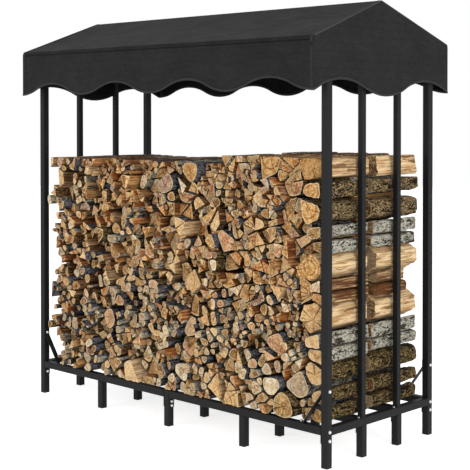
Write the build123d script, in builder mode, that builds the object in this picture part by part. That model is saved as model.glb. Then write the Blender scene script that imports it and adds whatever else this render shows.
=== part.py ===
from build123d import *
import math
import os
import random

# Log store: a steel rack on twenty legs, a sewn cover with a scalloped edge, and its load of firewood.
# The origin is on the floor, midway between the posts. +X runs to the right, +Y to the back.

# Steel frame
post_spacing_x = 1826.0
post_spacing_y = 688.0
tube_width = 32.0
tube_wall = 1.5
tube_corner = 2.0
side_post_width = 25.0
leg_height = 128.5
quarter_leg_distance = 448.0
inner_row_distance = 224.0
cap_height = 4.0

# Plates and straps
plate_thickness = 3.0
corner_plate_drop = 34.0
middle_plate_drop = 44.0
plate_margin = 1.0
brace_width = 24.0
brace_thickness = 3.0
brace_rise = 132.0
brace_reach = 96.0
brace_tab = 32.0
brace_bend = 5.0

# Roof frame under the cover
roof_tube_width = 30.0
roof_tube_wall = 1.2
top_rail_gap = 24.0

# Cover
end_overhang = 28.5
side_overhang = 113.5
cover_wall = 3.0
eave_height = 1698.0
roof_rise = 167.0
gable_lean = 20.0
ridge_radius = 16.0
seat_gap = 0.3

# Scalloped edge of the cover
wave_height = 1514.0
wave_depth = 26.0
wave_count = 4
end_wave_height = 1501.0
end_wave_depth = 32.0
end_wave_length = 566.0

# Firewood: two rows of logs, end to end
front_row_depth = 322.0
rear_row_depth = 345.0
row_gap = 2.0
front_log_pitch = 92.0
rear_log_pitch = 126.0
log_gap = 0.3
log_scatter = 0.3
log_size_spread = 0.4
log_corner_cut = 1.15
end_log_corner_cut = 0.84
round_log_share = 0.35
smallest_log = 24.0
ragged_left = 105.0
ragged_right = 40.0
ragged_inside = 18.0
ragged_rear = 45.0
rail_bearing = 12.0
brace_clearance = 4.0
stack_height = 1228.0
stack_step_drop = 40.0
stack_step_x = 400.0
step_log_width = 56.0
stack_ragged_top = 8.0
stack_left_gap = 24.0
stack_left_ragged = 56.0
stack_right_gap = 3.0
bay_count = 4
neighbour_reach = 3.0

# Heights of the courses that show at the right end, from the rail up
right_end_courses = (69, 71, 103, 59, 61, 122, 42, 42, 113, 51, 59, 103, 75, 97)

# The largest logs of the front row: across, up and half as wide as the log
large_logs = (
    (-685, 579, 46),
    (-583, 274, 48),
    (-348, 569, 48),
    (-358, 201, 45),
    (-136, 582, 46),
    (-132, 1121, 40),
    (-34, 277, 46),
    (183, 202, 46),
    (183, 888, 52),
    (205, 580, 46),
    (240, 966, 54),
    (257, 1110, 46),
    (375, 744, 43),
    (383, 591, 45),
    (527, 696, 42),
    (554, 921, 62),
    (598, 1175, 46),
    (622, 1099, 48),
    (692, 203, 42),
    (694, 684, 60),
    (694, 1143, 48),
    (732, 966, 54),
)

# Worked out from the sizes above
half_x = post_spacing_x / 2
half_y = post_spacing_y / 2
rail_top = leg_height + tube_width
inner_face_x = half_x - tube_width / 2
quarter_leg_x = half_x - quarter_leg_distance
inner_row_y = half_y - inner_row_distance
cover_length = post_spacing_x + 2 * end_overhang
cover_width = post_spacing_y + 2 * side_overhang
ridge_height = eave_height + roof_rise
slope_rise = roof_rise / (cover_width / 2)
slope_angle = math.atan(slope_rise)
cover_seat = cover_wall + seat_gap
eave_radius = roof_tube_width / 2 + cover_seat
eave_tube_y = cover_width / 2 - eave_radius
eave_tube_x = cover_length / 2 - eave_radius
eave_tube_z = eave_height + slope_rise * eave_radius - eave_radius / math.cos(slope_angle)
ridge_tube_z = ridge_height - eave_radius / math.cos(slope_angle)
roof_tube_butt = roof_tube_width / 2 + seat_gap
cover_bottom = end_wave_height - end_wave_depth - cover_wall

ends = (("left", -1), ("right", 1))
sides = (("front", -1), ("rear", 1))

os.makedirs("parts", exist_ok=True)


def save_piece(builder, piece_name):
    builder.part.label = piece_name
    export_step(builder.part, f"parts/{piece_name}.step")


def eased_rectangle(width, height):
    Rectangle(width, height)
    chamfer(vertices(), tube_corner)


def tube_section(width, wall=tube_wall):
    eased_rectangle(width, width)
    Rectangle(width - 2 * wall, width - 2 * wall, mode=Mode.SUBTRACT)


def round_section():
    Circle(roof_tube_width / 2)
    Circle(roof_tube_width / 2 - roof_tube_wall, mode=Mode.SUBTRACT)


def add_upright(x, y, bottom, top, width=tube_width):
    with BuildSketch(Plane((x, y, bottom))) as foot:
        tube_section(width)
    extrude(foot.sketch, amount=top - bottom)


# Corner posts stand on the floor and carry the roof frame
post_top = eave_tube_z - roof_tube_butt
for end_name, end in ends:
    for side_name, side in sides:
        with BuildPart() as corner_post:
            add_upright(end * half_x, side * half_y, cap_height, post_top)
        save_piece(corner_post, f"{side_name}_{end_name}_post")

# Slimmer posts close each end above its rail
for end_name, end in ends:
    for side_name, side in sides:
        with BuildPart() as side_post:
            add_upright(end * half_x, side * inner_row_y, rail_top, post_top, side_post_width)
        save_piece(side_post, f"{end_name}_side_post_{side_name}")

# Each end rail runs between the corner posts on two welded legs
end_rail_length = post_spacing_y - tube_width
for end_name, end in ends:
    with BuildPart() as end_rail:
        rail_start = Plane((end * half_x, -end_rail_length / 2, rail_top - tube_width / 2), z_dir=(0, 1, 0))
        with BuildSketch(rail_start):
            tube_section(tube_width)
        extrude(amount=end_rail_length)
        add_upright(end * half_x, -inner_row_y, cap_height, leg_height)
        add_upright(end * half_x, inner_row_y, cap_height, leg_height)
    save_piece(end_rail, f"{end_name}_end_rail")


# A rail half has a bolting plate at each end and one leg under it
def add_rail_half(end, y):
    outer_end = end * (inner_face_x - plate_thickness)
    inner_end = end * (tube_width / 2 + plate_thickness)
    rail_plane = Plane((inner_end, y, rail_top - tube_width / 2), z_dir=(end, 0, 0))
    with BuildSketch(rail_plane) as rail_section:
        tube_section(tube_width)
    extrude(rail_section.sketch, amount=abs(outer_end - inner_end))
    add_upright(end * quarter_leg_x, y, cap_height, leg_height)
    for plate_x, drop in ((outer_end, corner_plate_drop), (inner_end - end * plate_thickness, middle_plate_drop)):
        plate_height = tube_width + drop
        plate_plane = Plane((plate_x, y, rail_top - plate_height / 2), x_dir=(0, 1, 0), z_dir=(end, 0, 0))
        with BuildSketch(plate_plane) as plate:
            eased_rectangle(tube_width - 2 * plate_margin, plate_height)
        extrude(plate.sketch, amount=plate_thickness)


for side_name, side in sides:
    for end_name, end in ends:
        with BuildPart() as rail_half:
            add_rail_half(end, side * half_y)
        save_piece(rail_half, f"{side_name}_rail_{end_name}")

for end_name, end in ends:
    with BuildPart() as inner_rails:
        add_rail_half(end, -inner_row_y)
        add_rail_half(end, inner_row_y)
    save_piece(inner_rails, f"inner_rails_{end_name}")

# Legs in the middle, with the rail halves bolted to both sides
for side_name, side in sides:
    with BuildPart() as middle_leg:
        add_upright(0, side * half_y, cap_height, rail_top)
    save_piece(middle_leg, f"{side_name}_middle_leg")

with BuildPart() as inner_middle_legs:
    add_upright(0, -inner_row_y, cap_height, rail_top)
    add_upright(0, inner_row_y, cap_height, rail_top)
save_piece(inner_middle_legs, "inner_middle_legs")

# A bent strap braces each corner post to its long rail
for side_name, side in sides:
    for end_name, end in ends:
        with BuildPart() as knee_brace:
            with BuildSketch(Plane((0, side * half_y, 0), x_dir=(end, 0, 0), z_dir=(0, -end, 0))):
                with BuildLine():
                    strap_x = inner_face_x - brace_thickness / 2
                    strap_z = rail_top + brace_thickness / 2
                    FilletPolyline(
                        (strap_x, rail_top + brace_rise + brace_tab),
                        (strap_x, rail_top + brace_rise),
                        (strap_x - brace_reach, strap_z),
                        (strap_x - brace_reach - brace_tab, strap_z),
                        radius=brace_bend,
                    )
                trace(line_width=brace_thickness)
            extrude(amount=brace_width / 2, both=True)
        save_piece(knee_brace, f"{side_name}_{end_name}_brace")

# Plastic caps close the legs
leg_columns = (-half_x, -quarter_leg_x, 0, quarter_leg_x, half_x)
leg_rows = (-half_y, -inner_row_y, inner_row_y, half_y)
with BuildPart() as foot_caps:
    with BuildSketch(Plane.XY):
        with Locations(*[(x, y) for x in leg_columns for y in leg_rows]):
            Rectangle(tube_width, tube_width)
        chamfer(vertices(), tube_corner)
    extrude(amount=cap_height)
save_piece(foot_caps, "foot_caps")

# Round eave tubes carry the long edges of the cover
long_tube_length = cover_length - 2 * cover_seat
for side_name, side in sides:
    with BuildPart() as long_eave:
        with BuildSketch(Plane((-long_tube_length / 2, side * eave_tube_y, eave_tube_z), z_dir=(1, 0, 0))):
            round_section()
        extrude(amount=long_tube_length)
    save_piece(long_eave, f"{side_name}_eave_tube")

# Square ones lie on the posts and butt against the round ones
for end_name, end in ends:
    with BuildPart() as short_eave:
        short_eave_start = eave_tube_y - roof_tube_butt
        with BuildSketch(Plane((end * eave_tube_x, -short_eave_start, eave_tube_z), z_dir=(0, 1, 0))):
            tube_section(roof_tube_width, roof_tube_wall)
        extrude(amount=2 * short_eave_start)
    save_piece(short_eave, f"{end_name}_eave_tube")

# Ridge tube
ridge_tube_length = cover_length - 2 * (gable_lean + cover_seat + cover_wall)
with BuildPart() as ridge_tube:
    with BuildSketch(Plane((-ridge_tube_length / 2, 0, ridge_tube_z), z_dir=(1, 0, 0))):
        round_section()
    extrude(amount=ridge_tube_length)
save_piece(ridge_tube, "ridge_tube")

# Rafters climb from the round eave tubes to the ridge tube, beside the square ones
rafter_x = eave_tube_x - roof_tube_width - seat_gap
rafter_length = math.hypot(eave_tube_y, ridge_tube_z - eave_tube_z) - 2 * roof_tube_butt
for end_name, end in ends:
    with BuildPart() as rafters:
        for side_name, side in sides:
            rafter_direction = (0, -side * math.cos(slope_angle), math.sin(slope_angle))
            eave_plane = Plane(
                (end * rafter_x, side * eave_tube_y, eave_tube_z), x_dir=(1, 0, 0), z_dir=rafter_direction
            )
            with BuildSketch(eave_plane.offset(roof_tube_butt)):
                tube_section(roof_tube_width, roof_tube_wall)
            extrude(amount=rafter_length)
    save_piece(rafters, f"{end_name}_rafters")

# Top rails tie the corner posts together, front and rear
top_rail_z = post_top - top_rail_gap - tube_width / 2
for side_name, side in sides:
    with BuildPart() as top_rail:
        with BuildSketch(Plane((-inner_face_x, side * half_y, top_rail_z), z_dir=(1, 0, 0))):
            tube_section(tube_width)
        extrude(amount=2 * inner_face_x)
    save_piece(top_rail, f"{side_name}_top_rail")


# Outline of the cover seen from its end, drawn inward by an inset
def gable_outline(inset):
    side_y = cover_width / 2 - inset
    corner_z = eave_height + slope_rise * inset - inset / math.cos(slope_angle)
    peak_z = ridge_height - inset / math.cos(slope_angle)
    with BuildSketch(Plane.YZ) as outline:
        with BuildLine():
            Polyline(
                (-side_y, cover_bottom),
                (-side_y, corner_z),
                (0, peak_z),
                (side_y, corner_z),
                (side_y, cover_bottom),
                close=True,
            )
        make_face()
        fillet(vertices().sort_by(Axis.Y)[2:4], eave_radius - inset)
        fillet(vertices().sort_by(Axis.Y)[-1], ridge_radius - inset)
    return outline.sketch


# Outline of the cover seen from the front: upright ends, and gables that lean in
def front_outline(inset):
    side_x = cover_length / 2 - inset
    with BuildSketch(Plane.XZ) as outline:
        with BuildLine():
            Polyline(
                (-side_x, cover_bottom - inset),
                (-side_x, eave_height),
                (-side_x + gable_lean, ridge_height),
                (side_x - gable_lean, ridge_height),
                (side_x, eave_height),
                (side_x, cover_bottom - inset),
                close=True,
            )
        make_face()
    return outline.sketch


# Area under a wavy edge of equal arcs, which is cut from the cover. It hangs lowest at the middle.
def area_below_wave(plane, width, height, depth, wave_length):
    half_wave = wave_length / 2
    arc_count = 2 * math.ceil(width / wave_length) + 1
    left = -arc_count * half_wave / 2
    with BuildSketch(plane) as area:
        with BuildLine():
            for arc in range(arc_count):
                start = left + arc * half_wave
                hangs = (arc - arc_count // 2) % 2 == 0
                middle = (start + half_wave / 2, height - depth if hangs else height + depth)
                ThreePointArc((start, height), middle, (start + half_wave, height))
            Polyline((-left, height), (-left, 0), (left, 0), (left, height))
        make_face()
    return area.sketch


# One sheet covers both slopes, turns down over the eaves and ends in the long scalloped edges
with BuildPart() as roof_sheet:
    extrude(gable_outline(0), amount=cover_length / 2, both=True)
    extrude(gable_outline(cover_wall), amount=cover_length / 2, both=True, mode=Mode.SUBTRACT)
    extrude(front_outline(0), amount=cover_width / 2, both=True, mode=Mode.INTERSECT)
    long_edge = area_below_wave(Plane.XZ, cover_length, wave_height, wave_depth, cover_length / wave_count)
    extrude(long_edge, amount=cover_width / 2, both=True, mode=Mode.SUBTRACT)
save_piece(roof_sheet, "cover_roof_sheet")

# A gable with its own scalloped edge closes each end
for end_name, end in ends:
    with BuildPart() as cover_end:
        extrude(gable_outline(cover_seat), amount=cover_length / 2, both=True)
        extrude(front_outline(0), amount=cover_width / 2, both=True, mode=Mode.INTERSECT)
        extrude(front_outline(cover_wall), amount=cover_width / 2, both=True, mode=Mode.SUBTRACT)
        short_edge = area_below_wave(Plane.YZ, cover_width, end_wave_height, end_wave_depth, end_wave_length)
        extrude(short_edge, amount=cover_length / 2, both=True, mode=Mode.SUBTRACT)
        split(bisect_by=Plane.YZ, keep=Keep.TOP if end > 0 else Keep.BOTTOM)
    save_piece(cover_end, f"cover_{end_name}_end")


# Keep the part of an outline where the direction times the point is under a limit
def clip_outline(outline, direction_x, direction_z, limit):
    kept = []
    for (x1, z1), (x2, z2) in zip(outline, outline[1:] + outline[:1]):
        room_1 = limit - direction_x * x1 - direction_z * z1
        room_2 = limit - direction_x * x2 - direction_z * z2
        if room_1 >= 0:
            kept.append((x1, z1))
        if room_1 * room_2 < 0:
            share = room_1 / (room_1 - room_2)
            kept.append((x1 + share * (x2 - x1), z1 + share * (z2 - z1)))
    return kept


# Centres of the logs in one row of the stack, with the size that each claims
def scatter_logs(draw, pitch, placed_logs):
    course_height = pitch * math.sqrt(3) / 2
    course_count = round((stack_height - rail_top) / course_height)
    per_course = round(2 * inner_face_x / pitch)
    centres = list(placed_logs)
    course_bottom = rail_top
    for height in right_end_courses:
        x = inner_face_x - stack_right_gap - draw.uniform(1 - log_scatter, 1) * height / 2
        centres.append((x, course_bottom + height / 2, height / 2))
        course_bottom += height
    step_reach = step_log_width / 2
    centres.append((stack_step_x + step_reach, stack_height - step_reach, step_reach))
    settled = list(centres)
    for course in range(course_count):
        for place in range(per_course):
            shift = 0.25 + 0.5 * (course % 2)
            x = -inner_face_x + (place + shift + draw.uniform(-log_scatter, log_scatter)) * pitch
            z = rail_top + (course + 0.5 + draw.uniform(-log_scatter, log_scatter)) * course_height
            claim = draw.uniform(0, log_size_spread) * pitch
            if all(math.hypot(x - near_x, z - near_z) > near + pitch / 3 for near_x, near_z, near in settled):
                centres.append((x, z, claim))
    return centres


# Each log takes the ground nearest to its centre, less half the gap to the next log
def log_outline(draw, centres, index, pitch):
    x, z, claim = centres[index]
    top = stack_height - draw.uniform(0, stack_ragged_top)
    if x <= stack_step_x:
        top -= stack_step_drop
    left = -inner_face_x + stack_left_gap + draw.uniform(0, stack_left_ragged)
    right = inner_face_x - stack_right_gap
    bottom = rail_top + seat_gap
    outline = [(left, bottom), (right, bottom), (right, top), (left, top)]
    for other_x, other_z, other_claim in centres:
        away_x = other_x - x
        away_z = other_z - z
        distance = math.hypot(away_x, away_z)
        if 0 < distance < neighbour_reach * pitch:
            border = (distance**2 + claim**2 - other_claim**2) / (2 * distance) - log_gap / 2
            limit = border + (away_x * x + away_z * z) / distance
            outline = clip_outline(outline, away_x / distance, away_z / distance, limit)
    return outline


# A round log has its outline's corners cut back towards the circle inside it, if that still touches on three sides
def round_off(outline):
    centre_x = sum(x for x, z in outline) / len(outline)
    centre_z = sum(z for x, z in outline) / len(outline)
    distances = sorted(edge_distances(outline, centre_x, centre_z))
    reach = distances[0] * log_corner_cut
    if distances[2] > reach:
        return outline
    return cut_corners(outline, centre_x, centre_z, reach, 0)


# Corners further from the centre than the reach, or than a share of their own distance, are cut back to it
def cut_corners(outline, centre_x, centre_z, reach, share):
    for corner_x, corner_z in list(outline):
        distance = math.hypot(corner_x - centre_x, corner_z - centre_z)
        direction_x = (corner_x - centre_x) / distance
        direction_z = (corner_z - centre_z) / distance
        limit = max(reach, share * distance) + direction_x * centre_x + direction_z * centre_z
        outline = clip_outline(outline, direction_x, direction_z, limit)
    return outline


def edge_distances(outline, x, z):
    distances = []
    for (x1, z1), (x2, z2) in zip(outline, outline[1:] + outline[:1]):
        area = abs((x2 - x1) * (z1 - z) - (x1 - x) * (z2 - z1))
        distances.append(area / math.hypot(x2 - x1, z2 - z1))
    return distances


def outline_size(outline):
    twice_area = sum(x1 * z2 - x2 * z1 for (x1, z1), (x2, z2) in zip(outline, outline[1:] + outline[:1]))
    return math.sqrt(abs(twice_area) / 2)


# Knee braces reach this far in from the posts, and this far up
brace_width_in = brace_thickness / 2 + brace_reach + brace_tab + brace_clearance
brace_height_up = brace_rise + brace_tab
behind_brace = -half_y + brace_width / 2 + brace_clearance


def near_brace(outline, end):
    over = max(end * x for x, z in outline) - (inner_face_x - brace_width_in)
    up = min(z for x, z in outline) - rail_top
    return over > 0 and up < brace_height_up


# The front row stops at the line of the left brace
def clear_left_brace(outline):
    slant = math.hypot(brace_width_in, brace_height_up)
    direction_x = -brace_height_up / slant
    direction_z = -brace_width_in / slant
    limit = direction_x * (brace_width_in - inner_face_x) + direction_z * rail_top
    return clip_outline(outline, direction_x, direction_z, limit)


# A log starts where its row does, or a little further in: more so at the left, and less where it lies on a rail
def front_row_ends(draw, outline, x):
    share = (x + inner_face_x) / (2 * inner_face_x)
    ragged = ragged_left + share * (ragged_right - ragged_left)
    lies_on_rail = min(z for x, z in outline) < rail_top + 1
    start = front_row_start + draw.random() ** 2 * (rail_bearing if lies_on_rail else ragged)
    if near_brace(outline, 1):
        start = behind_brace
    return start, front_row_start + front_row_depth - draw.uniform(0, ragged_inside)


def rear_row_ends(draw, outline, x):
    start = rear_row_start + draw.uniform(0, ragged_inside)
    lies_on_rail = min(z for x, z in outline) < rail_top + 1
    if lies_on_rail and not near_brace(outline, 1) and not near_brace(outline, -1):
        return start, half_y - tube_width / 2 + rail_bearing
    return start, rear_row_start + rear_row_depth - draw.random() ** 2 * ragged_rear


def stack_row(row_name, seed, pitch, placed_logs, row_ends):
    draw = random.Random(seed)
    centres = scatter_logs(draw, pitch, placed_logs)
    bays = [[] for bay in range(bay_count)]
    for index, (x, z, claim) in enumerate(centres):
        outline = log_outline(draw, centres, index, pitch)
        if row_name == "front":
            outline = clear_left_brace(outline)
        if len(outline) < 3 or outline_size(outline) < smallest_log:
            continue
        shows_at_end = max(x for x, z in outline) > inner_face_x - stack_right_gap - log_gap
        if shows_at_end:
            outline = cut_corners(outline, x, z, 0, end_log_corner_cut)
        elif index >= len(placed_logs) and draw.random() < round_log_share:
            outline = round_off(outline)
        start, finish = row_ends(draw, outline, x)
        log_end = Face(Wire.make_polygon([(x, start, z) for x, z in outline]))
        bay = min(int((x + half_x) / (post_spacing_x / bay_count)), bay_count - 1)
        bays[bay].append(Solid.extrude(log_end, Vector(0, finish - start, 0)))
    for bay, bay_logs in enumerate(bays):
        with BuildPart() as logs:
            add(bay_logs)
        save_piece(logs, f"{row_name}_logs_bay_{bay + 1}")


front_row_start = -half_y - tube_width / 2
rear_row_start = front_row_start + front_row_depth + row_gap
stack_row("front", 4, front_log_pitch, large_logs, front_row_ends)
stack_row("rear", 9, rear_log_pitch, (), rear_row_ends)
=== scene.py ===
import math
import random

import bmesh
import bpy
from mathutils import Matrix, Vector, noise
from mathutils.geometry import convex_hull_2d


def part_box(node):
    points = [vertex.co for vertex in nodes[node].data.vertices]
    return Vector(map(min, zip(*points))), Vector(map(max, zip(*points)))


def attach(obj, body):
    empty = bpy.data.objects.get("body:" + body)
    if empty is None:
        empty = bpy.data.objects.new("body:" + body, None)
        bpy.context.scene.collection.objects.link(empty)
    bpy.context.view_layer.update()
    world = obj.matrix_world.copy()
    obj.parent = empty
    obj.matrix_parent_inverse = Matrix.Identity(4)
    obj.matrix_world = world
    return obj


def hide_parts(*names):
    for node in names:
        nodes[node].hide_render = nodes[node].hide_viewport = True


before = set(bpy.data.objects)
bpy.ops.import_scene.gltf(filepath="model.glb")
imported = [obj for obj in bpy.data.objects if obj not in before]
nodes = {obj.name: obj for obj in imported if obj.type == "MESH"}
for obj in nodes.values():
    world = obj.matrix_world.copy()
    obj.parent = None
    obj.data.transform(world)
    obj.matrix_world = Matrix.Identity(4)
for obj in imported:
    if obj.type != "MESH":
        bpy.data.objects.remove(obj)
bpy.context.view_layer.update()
scene = bpy.context.scene
print("frame loaded:", len(nodes), "nodes")


# Colours are written as they look, 0 to 255, and Blender wants them linear
def paint(red, green, blue):
    return tuple((c / 255) ** 2.2 for c in (red, green, blue))


# One node, with its inputs given as numbers or as the sockets that feed them
def addNode(tree, kind, inputs=None, **settings):
    node = tree.nodes.new(kind)
    for key, value in settings.items():
        setattr(node, key, value)
    for key, value in (inputs or {}).items():
        if isinstance(value, bpy.types.NodeSocket):
            tree.links.new(value, node.inputs[key])
        else:
            node.inputs[key].default_value = value
    return node


# A material with its shader's plain values, and the tree that its patterns go into
def startFinish(look):
    material = bpy.data.materials.new(look["name"])
    material.use_nodes = True
    shader = material.node_tree.nodes["Principled BSDF"]
    shader.inputs["Roughness"].default_value = look["roughness"]
    shader.inputs["Metallic"].default_value = look.get("metallic", 0.0)
    shader.inputs["Specular IOR Level"].default_value = look["specular"]
    return material, material.node_tree, shader


def stretched(tree, place, scale, turn=0.0):
    settings = {"Vector": place, "Rotation": (0, 0, turn), "Scale": scale}
    return addNode(tree, "ShaderNodeMapping", settings).outputs["Vector"]


def cloudy(tree, place, scale, detail=3.0, roughness=0.55):
    settings = {"Vector": place, "Scale": scale, "Detail": detail, "Roughness": roughness}
    return addNode(tree, "ShaderNodeTexNoise", settings).outputs["Fac"]


def mathStep(tree, operation, first, second=0.0):
    return addNode(tree, "ShaderNodeMath", {0: first, 1: second}, operation=operation).outputs[0]


# A smooth step from 0 to 1 between two levels
def between(tree, value, low, high):
    settings = {"Value": value, "From Min": low, "From Max": high}
    return addNode(tree, "ShaderNodeMapRange", settings, clamp=True).outputs["Result"]


def blend(tree, factor, first, second, kind="MIX"):
    node = tree.nodes.new("ShaderNodeMix")
    node.data_type = "RGBA"
    node.blend_type = kind
    for number, value in ((0, factor), (6, first), (7, second)):
        if isinstance(value, bpy.types.NodeSocket):
            tree.links.new(value, node.inputs[number])
        elif number == 0:
            node.inputs[0].default_value = value
        else:
            node.inputs[number].default_value = (*value, 1)
    return node.outputs[2]


# Steps of colour, with an equal share of 0 to 1 for each name in a palette
def pickColour(tree, factor, palette, shade):
    node = addNode(tree, "ShaderNodeValToRGB", {"Fac": factor})
    ramp = node.color_ramp
    ramp.interpolation = "CONSTANT"
    for number, colours in enumerate(palette.values()):
        place = number / len(palette)
        stop = ramp.elements[number] if number < 2 else ramp.elements.new(place)
        stop.position = place
        stop.color = (*paint(*colours[shade]), 1)
    return node.outputs["Color"]


def attribute(tree, name, output):
    return addNode(tree, "ShaderNodeAttribute", attribute_name=name).outputs[output]


# A look's noises by name, each with its stretch, scale, detail and roughness
def makeNoises(tree, noises, place):
    return {
        name: cloudy(tree, stretched(tree, place, stretch), scale, detail, roughness)
        for name, (stretch, scale, detail, roughness) in noises.items()
    }


# Lays each colour of a look over the last where its pattern is between two levels, then adds up the relief
def applyLook(tree, shader, look, patterns, pickedColours):
    colours = {name: paint(*value) for name, value in look["colours"].items()} | pickedColours
    colour = colours["base"]
    for name, low, high, share, above in look["layers"]:
        amount = mathStep(tree, "MULTIPLY", between(tree, patterns[name], low, high), share)
        colour = blend(tree, amount, colour, colours[above])
    tree.links.new(colour, shader.inputs["Base Color"])
    if "gloss" in look:
        name, low, high = look["gloss"]
        gloss = addNode(tree, "ShaderNodeMapRange", {"Value": patterns[name], "To Min": low, "To Max": high})
        tree.links.new(gloss.outputs["Result"], shader.inputs["Roughness"])
    height = 0.0
    for name, weight in look["relief"].items():
        height = mathStep(tree, "ADD", height, mathStep(tree, "MULTIPLY", patterns[name], weight))
    strength = look.get("reliefStrength", 1.0)
    settings = {"Height": height, "Distance": look["reliefDepth"], "Strength": strength}
    normal = addNode(tree, "ShaderNodeBump", settings).outputs["Normal"]
    tree.links.new(normal, shader.inputs["Normal"])


# A finish of noises alone, laid over the piece's own axes
def makePlainFinish(look):
    material, tree, shader = startFinish(look)
    place = addNode(tree, "ShaderNodeTexCoord").outputs["Object"]
    applyLook(tree, shader, look, makeNoises(tree, look["noises"], place), {})
    return material


# Looks. A noise has its stretch, scale, detail and roughness.
# A layer has its pattern, the two levels that it lies between, its share and its colour.

# Powder coat: charcoal, with a fine pebbled skin and a little dust
powderCoat = {
    "name": "charcoalPowderCoat",
    "roughness": 0.5,
    "specular": 0.13,
    "colours": {"base": (31, 31, 32), "dust": (50, 50, 49)},
    "noises": {"pebbles": ((1, 1, 1), 900, 2, 0.55), "clouds": ((1, 1, 1), 9, 4, 0.55)},
    "layers": (("clouds", 0.52, 0.72, 0.22, "dust"), ("pebbles", 0.35, 0.75, 0.16, "dust")),
    "gloss": ("clouds", 0.46, 0.6),
    "relief": {"pebbles": 1.0},
    "reliefDepth": 0.00006,
}

# Moulded caps under the legs
footPlastic = {
    "name": "blackCapPlastic",
    "roughness": 0.58,
    "specular": 0.4,
    "colours": {"base": (30, 30, 31), "scuff": (62, 61, 58)},
    "noises": {"scuffs": ((1, 1, 3), 130, 4, 0.55), "skin": ((1, 1, 1), 600, 2, 0.55)},
    "layers": (("scuffs", 0.55, 0.8, 0.5, "scuff"),),
    "relief": {"skin": 1.0},
    "reliefDepth": 0.00008,
}

# Bright zinc on the bolts
boltZinc = {
    "name": "brightZinc",
    "roughness": 0.34,
    "metallic": 1.0,
    "specular": 0.5,
    "colours": {"base": (226, 226, 222), "stain": (150, 148, 142)},
    "noises": {"stains": ((1, 1, 1), 320, 3, 0.55), "skin": ((1, 1, 1), 1500, 2, 0.55)},
    "layers": (("stains", 0.45, 0.8, 0.5, "stain"),),
    "relief": {"skin": 1.0},
    "reliefDepth": 0.00003,
}

# Twisted thread of the seams
seamThread = {
    "name": "blackThread",
    "roughness": 0.6,
    "specular": 0.3,
    "colours": {"base": (20, 20, 21), "shine": (44, 44, 46)},
    "noises": {"twist": ((1, 3, 3), 1400, 2, 0.55)},
    "layers": (("twist", 0, 1, 1.0, "shine"),),
    "relief": {"twist": 1.0},
    "reliefDepth": 0.0002,
}

# Coated polyester: plain weave of thick yarns, matt, with cloudy patches and rows of knots; painted shade
# darkens the roof slopes and the eave crease
coverCloth = {
    "roughness": 0.7,
    "specular": 0.09,
    # fold is a near-black used for painted shade on the roof slopes and along the eave crease, and for the
    # dark dashes of the knot rows
    "colours": {"base": (35, 35, 36), "worn": (49, 49, 50), "fold": (14, 14, 15)},
    "noises": {"slubs": ((1, 5, 1), 60, 3, 0.55), "patches": ((1, 1, 1), 7, 4, 0.55)},
    "slant": 0.6,
    "slantedNoises": {"knots": ((1, 2.4, 0), 78, 2, 0.55), "creases": ((1, 2.4, 0), 17, 4, 0.65)},
    "yarn": 0.0016,
    "rowPitch": 0.034,
    "rowLevels": (0.6, 0.95),
    "knotLevels": (0.54, 0.6),
    "creaseShadePlace": 0.003,
    "creaseShadeLevels": (0.0045, 0.002),
    "layers": (
        ("patches", 0.35, 0.75, 0.45, "worn"),
        ("slubs", 0.45, 0.8, 0.35, "worn"),
        ("knots", 0.5, 0.62, 0.5, "worn"),
        ("creases", 0.5, 0.62, 0.35, "worn"),
        # Painted shade: the roof, above the eave seam, is darkened towards fold
        ("below", 0, -0.006, 0.38, "fold"),
        ("dashes", 0, 1, 0.55, "fold"),
        # Painted shade along the eave crease
        ("creaseShade", 0, 1, 0.8, "fold"),
    ),
    "gloss": ("patches", 0.78, 0.6),
    "relief": {"weave": 1.0, "slubs": 0.8, "creases": 55},
    "reliefDepth": 0.00022,
    "reliefStrength": 0.8,
}


# Cloth of one tone. Its place is metres along and across the sheet, and metres below the eave seam
def makeCoverCloth(look, name, lift):
    material, tree, shader = startFinish({**look, "name": name})
    place = attribute(tree, "cloth", "Vector")
    patterns = makeNoises(tree, look["noises"], place)
    for key, (stretch, scale, detail, roughness) in look["slantedNoises"].items():
        slanted = stretched(tree, place, stretch, look["slant"])
        patterns[key] = cloudy(tree, slanted, scale, detail, roughness)
    waves = []
    waveScale = math.tau / (20 * look["yarn"])
    for direction in ("X", "Y"):
        settings = {"Vector": place, "Scale": waveScale, "Distortion": 0.6, "Detail Scale": 2.0}
        waves.append(addNode(tree, "ShaderNodeTexWave", settings, bands_direction=direction).outputs["Fac"])
    patterns["weave"] = mathStep(tree, "MAXIMUM", *waves)
    parts = addNode(tree, "ShaderNodeSeparateXYZ", {"Vector": place})
    below = parts.outputs["Z"]
    rows = mathStep(tree, "SINE", mathStep(tree, "MULTIPLY", parts.outputs["Y"], math.tau / look["rowPitch"]))
    onRow = between(tree, rows, *look["rowLevels"])
    dashes = mathStep(tree, "MULTIPLY", onRow, between(tree, patterns["knots"], *look["knotLevels"]))
    patterns["dashes"] = mathStep(tree, "MULTIPLY", dashes, between(tree, below, 0.0, 0.01))
    # A painted shade line along the eave crease, just below the seam
    fold = mathStep(tree, "ABSOLUTE", mathStep(tree, "SUBTRACT", below, look["creaseShadePlace"]))
    patterns["creaseShade"] = between(tree, fold, *look["creaseShadeLevels"])
    patterns["below"] = below
    lifted = {key: paint(*(c + lift for c in look["colours"][key])) for key in ("base", "worn")}
    applyLook(tree, shader, look, patterns, lifted)
    return material


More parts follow.
